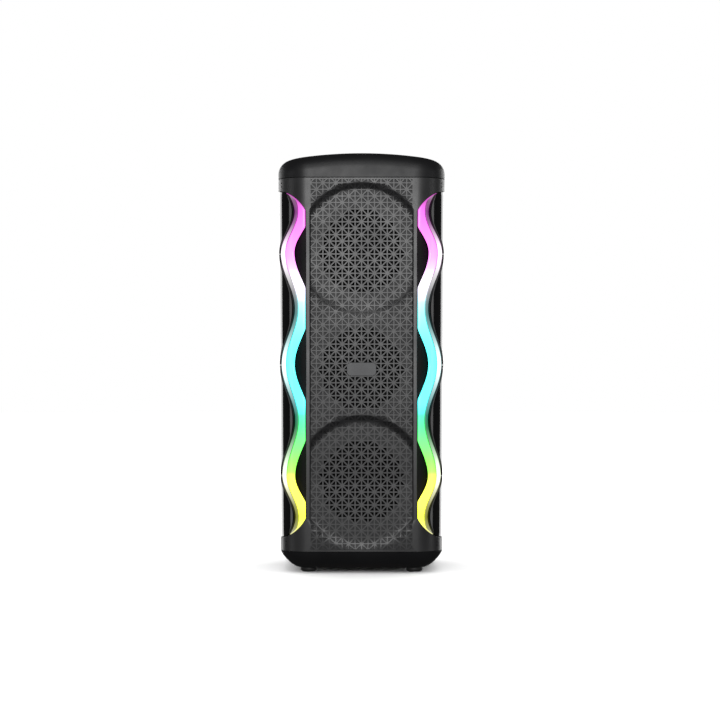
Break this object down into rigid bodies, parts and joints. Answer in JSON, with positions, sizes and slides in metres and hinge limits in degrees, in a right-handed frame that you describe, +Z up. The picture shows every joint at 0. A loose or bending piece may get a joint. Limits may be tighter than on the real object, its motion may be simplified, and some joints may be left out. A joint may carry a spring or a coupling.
{
  "type": "party speaker",
  "caption": "Tall battery party speaker with a perforated front, woofers behind it and wavy light bands on the front corners.",
  "frame": {"origin": "on the floor, under the middle of the cabinet", "axes": "+Z up, -Y is the front with the grille, +X to the right seen from the front"},
  "size_m": [0.2498, 0.244, 0.626],
  "materials": {
    "grille_plastic": "fine textured",
    "cabinet_plastic": "fine textured",
    "cap_plastic": "satin",
    "gloss_panel": "polished",
    "side_gloss": "polished",
    "light_diffuser": "satin, lit from behind",
    "liner_black": "matt",
    "led_board": "printed strip",
    "badge": "satin",
    "speaker_cloth": "fine weave",
    "baffle_board": "fibreboard, painted black at the front",
    "driver_steel": "satin powder coat",
    "magnet_ferrite": "matt",
    "yoke_steel": "zinc plated",
    "cone_paper": "pressed pulp",
    "surround_rubber": "matt",
    "spider_cloth": "resin-stiffened weave",
    "coil_copper": "wound wire on a former",
    "dust_cap": "satin",
    "button_rubber": "satin",
    "dial_plastic": "satin",
    "circuit_board": "solder mask",
    "heatsink_alloy": "anodised",
    "battery_wrap": "heat-shrink film",
    "strap_steel": "zinc plated",
    "screw_steel": "black oxide",
    "foot_rubber": "matt",
    "socket_plastic": "moulded",
    "usb_metal": "stamped shell",
    "rocker_plastic": "moulded"
  },
  "bodies": {
    "cabinet": {"front_grille": "grille_plastic", "badge_plate": "badge", "grille_cloths": "speaker_cloth", "front_baffle": "baffle_board", "rear_cabinet": "cabinet_plastic", "cabinet_frame": "cabinet_plastic", "top_cap": "cap_plastic", "bottom_cap": "cap_plastic", "control_panel": "gloss_panel", "control_board": "circuit_board", "rubber_feet": "foot_rubber", "driver_screws": "screw_steel", "cabinet_screws": "screw_steel", "side_panel_left": "side_gloss", "side_panel_right": "side_gloss", "light_liners": "liner_black", "led_strips": "led_board", "wave_diffuser_left": "light_diffuser", "wave_diffuser_right": "light_diffuser", "rear_io_panel": "gloss_panel", "mic_jacks": "socket_plastic", "usb_socket": "usb_metal", "power_inlet": "socket_plastic", "bass_port": "cabinet_plastic", "amplifier_board": "circuit_board", "heatsink": "heatsink_alloy", "battery_pack": "battery_wrap", "battery_straps": "strap_steel", "upper_woofer_basket": "driver_steel", "upper_woofer_magnet": "magnet_ferrite", "upper_woofer_yoke": "yoke_steel", "upper_woofer_spider": "spider_cloth", "upper_woofer_surround": "surround_rubber", "middle_driver_basket": "driver_steel", "middle_driver_magnet": "magnet_ferrite", "middle_driver_yoke": "yoke_steel", "middle_driver_spider": "spider_cloth", "middle_driver_surround": "surround_rubber", "lower_woofer_basket": "driver_steel", "lower_woofer_magnet": "magnet_ferrite", "lower_woofer_yoke": "yoke_steel", "lower_woofer_spider": "spider_cloth", "lower_woofer_surround": "surround_rubber"},
    "upper_woofer_cone_assembly": {"upper_woofer_cone": "cone_paper", "upper_woofer_dust_cap": "dust_cap", "upper_woofer_voice_coil": "coil_copper"},
    "middle_driver_cone_assembly": {"middle_driver_cone": "cone_paper", "middle_driver_dust_cap": "dust_cap", "middle_driver_voice_coil": "coil_copper"},
    "lower_woofer_cone_assembly": {"lower_woofer_cone": "cone_paper", "lower_woofer_dust_cap": "dust_cap", "lower_woofer_voice_coil": "coil_copper"},
    "power_button_body": {"power_button": "button_rubber"},
    "mode_button_body": {"mode_button": "button_rubber"},
    "light_button_body": {"light_button": "button_rubber"},
    "previous_button_body": {"previous_button": "button_rubber"},
    "next_button_body": {"next_button": "button_rubber"},
    "play_button_body": {"play_button": "button_rubber"},
    "dial": {"volume_dial": "dial_plastic"},
    "rocker": {"power_rocker": "rocker_plastic"}
  },
  "joints": [
    {"name": "upper_woofer_excursion", "type": "slide", "parent": "cabinet", "child": "upper_woofer_cone_assembly", "axis": [0, -1, 0], "range_m": [-0.003, 0.003], "stiffness_N_per_m": 2500, "deforming": ["upper_woofer_surround", "upper_woofer_spider"]},
    {"name": "middle_driver_excursion", "type": "slide", "parent": "cabinet", "child": "middle_driver_cone_assembly", "axis": [0, -1, 0], "range_m": [-0.00216, 0.00216], "stiffness_N_per_m": 3000, "deforming": ["middle_driver_surround", "middle_driver_spider"]},
    {"name": "lower_woofer_excursion", "type": "slide", "parent": "cabinet", "child": "lower_woofer_cone_assembly", "axis": [0, -1, 0], "range_m": [-0.003, 0.003], "stiffness_N_per_m": 2500, "deforming": ["lower_woofer_surround", "lower_woofer_spider"]},
    {"name": "power_button_press", "type": "slide", "parent": "cabinet", "child": "power_button_body", "axis": [0, 0, -1], "range_m": [0, 0.001], "stiffness_N_per_m": 900},
    {"name": "mode_button_press", "type": "slide", "parent": "cabinet", "child": "mode_button_body", "axis": [0, 0, -1], "range_m": [0, 0.001], "stiffness_N_per_m": 900},
    {"name": "light_button_press", "type": "slide", "parent": "cabinet", "child": "light_button_body", "axis": [0, 0, -1], "range_m": [0, 0.001], "stiffness_N_per_m": 900},
    {"name": "previous_button_press", "type": "slide", "parent": "cabinet", "child": "previous_button_body", "axis": [0, 0, -1], "range_m": [0, 0.001], "stiffness_N_per_m": 900},
    {"name": "next_button_press", "type": "slide", "parent": "cabinet", "child": "next_button_body", "axis": [0, 0, -1], "range_m": [0, 0.001], "stiffness_N_per_m": 900},
    {"name": "play_button_press", "type": "slide", "parent": "cabinet", "child": "play_button_body", "axis": [0, 0, -1], "range_m": [0, 0.001], "stiffness_N_per_m": 900},
    {"name": "volume_turn", "type": "hinge", "parent": "cabinet", "child": "dial", "pos_m": [0, 0, 0.62], "axis": [0, 0, 1], "range_deg": [-150, 150]},
    {"name": "power_rocker_tilt", "type": "hinge", "parent": "cabinet", "child": "rocker", "pos_m": [0.03, 0.11, 0.172], "axis": [1, 0, 0], "range_deg": [0, 14]}
  ]
}
